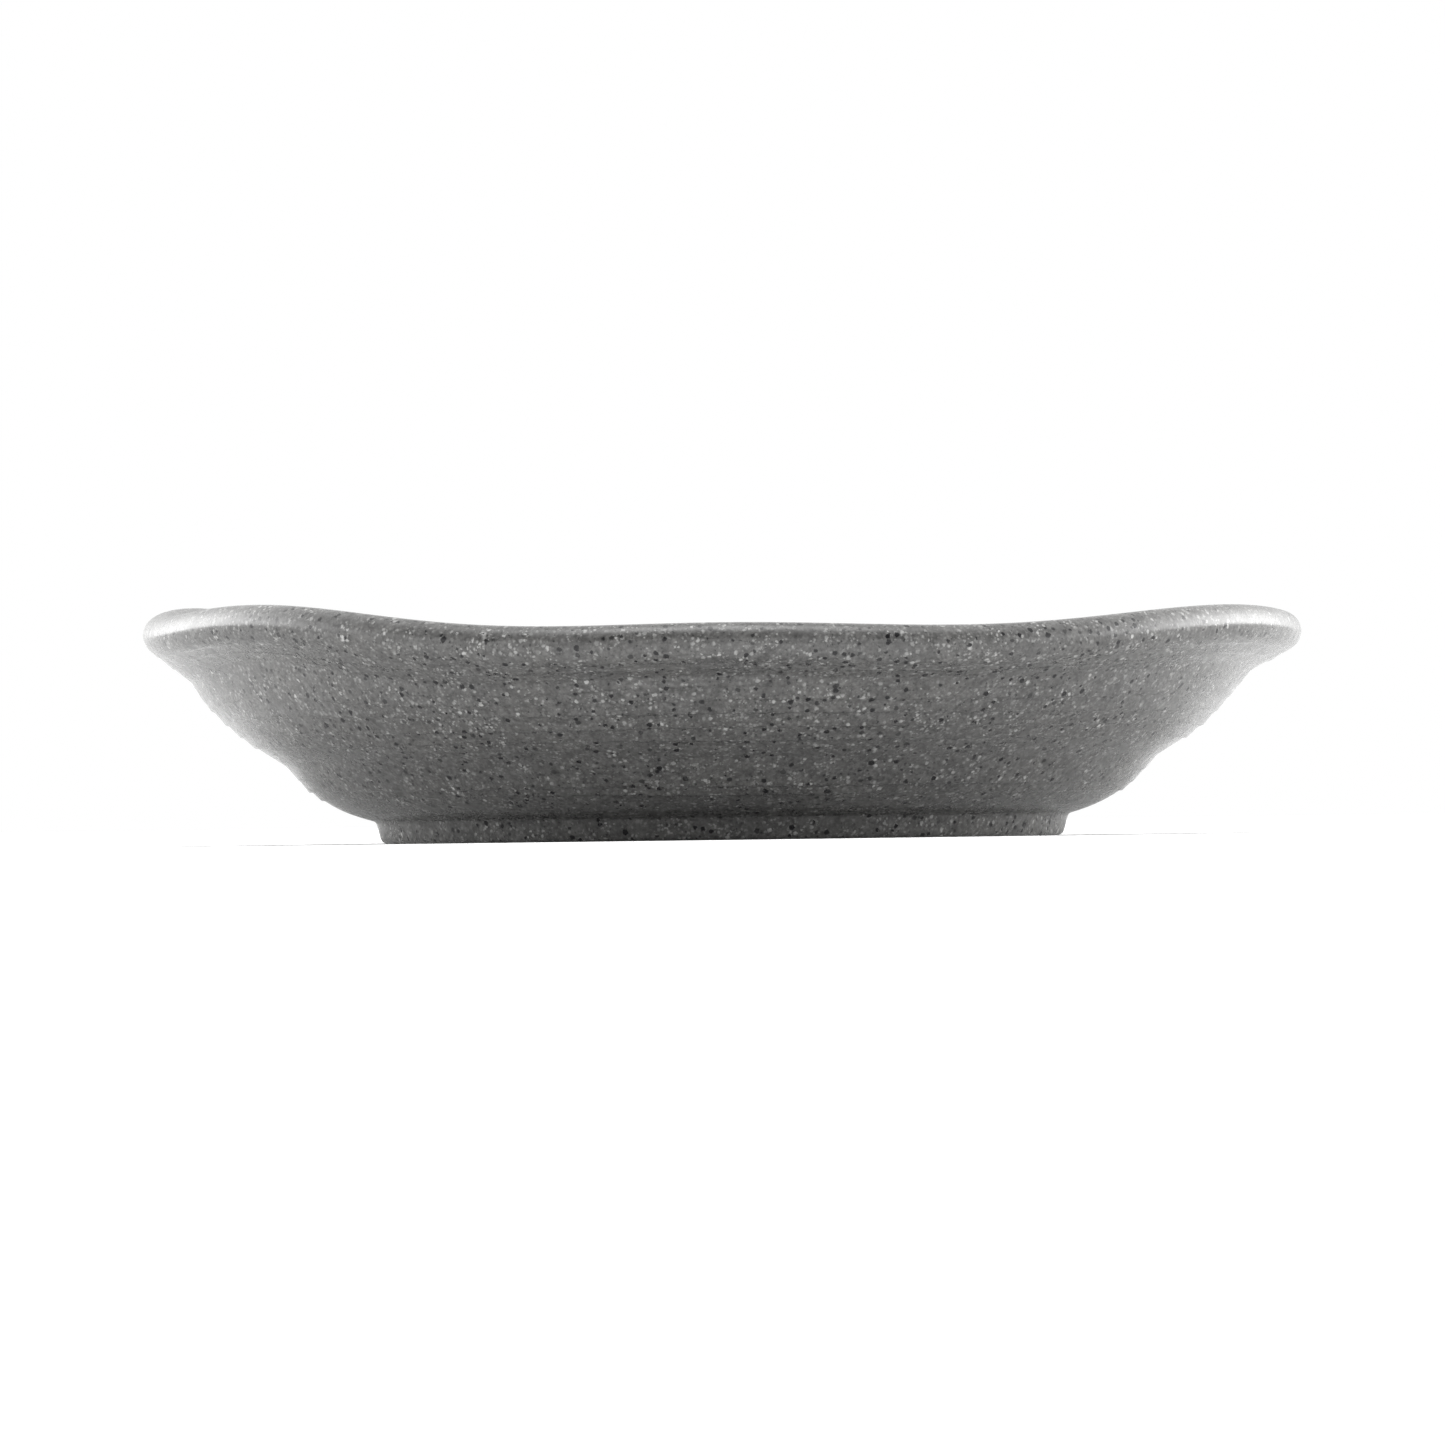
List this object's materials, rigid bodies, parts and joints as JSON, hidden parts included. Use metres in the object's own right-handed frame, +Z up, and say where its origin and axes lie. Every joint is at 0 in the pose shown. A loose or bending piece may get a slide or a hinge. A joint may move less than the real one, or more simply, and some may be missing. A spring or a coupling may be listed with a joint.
{
  "type": "chip and dip server",
  "caption": "Round shallow stoneware chip dish with a ringed wall, foot ring and wavy rolled rim, and a loose lift-out dip bowl in its centre.",
  "frame": {"origin": "centre of the foot ring, on the table that the dish stands on", "axes": "+Z up, the dish's own axis and the way the dip bowl lifts out; +X towards the end of the rim that stands out a little further, -Y towards the viewer"},
  "size_m": [0.305, 0.297, 0.0636],
  "materials": {
    "speckled_stoneware": "satin",
    "dip_bowl_stoneware": "satin"
  },
  "bodies": {
    "dish": {"chip_dish": "speckled_stoneware"},
    "bowl": {"dip_bowl": "dip_bowl_stoneware"}
  },
  "joints": [
    {"name": "dip_bowl_lift", "type": "slide", "parent": "dish", "child": "bowl", "axis": [0, 0, 1], "range_m": [0, 0.07]}
  ]
}
